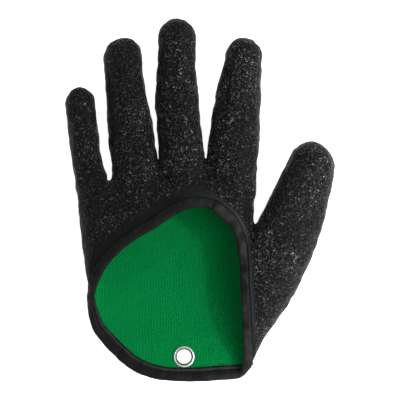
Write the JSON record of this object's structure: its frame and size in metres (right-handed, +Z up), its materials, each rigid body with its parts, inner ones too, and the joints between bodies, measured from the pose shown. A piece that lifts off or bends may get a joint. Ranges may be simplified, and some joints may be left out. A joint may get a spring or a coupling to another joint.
{
  "type": "fishing glove",
  "caption": "Right-hand fishing glove: crinkled latex coating over a knit liner, the heel of the palm cut away and bound with tape, and a metal eyelet at the wrist.",
  "frame": {"origin": "on the floor, below the middle of the glove's outline seen from above", "axes": "+Y from the wrist to the fingertips, +X towards the thumb's side, +Z up out of the palm; the back of the hand lies on z = 0"},
  "size_m": [0.1708, 0.2298, 0.0348],
  "materials": {
    "latex": "crinkled black latex, half gloss on the wrinkles",
    "liner": "fine green knit",
    "tape": "folded black tape, dull",
    "nickel": "bright nickel plate"
  },
  "bodies": {
    "root": {"latex_shell": "latex", "knit_liner": "liner", "edge_binding": "tape", "eyelet": "nickel", "eyelet_washer": "nickel"}
  },
  "joints": []
}
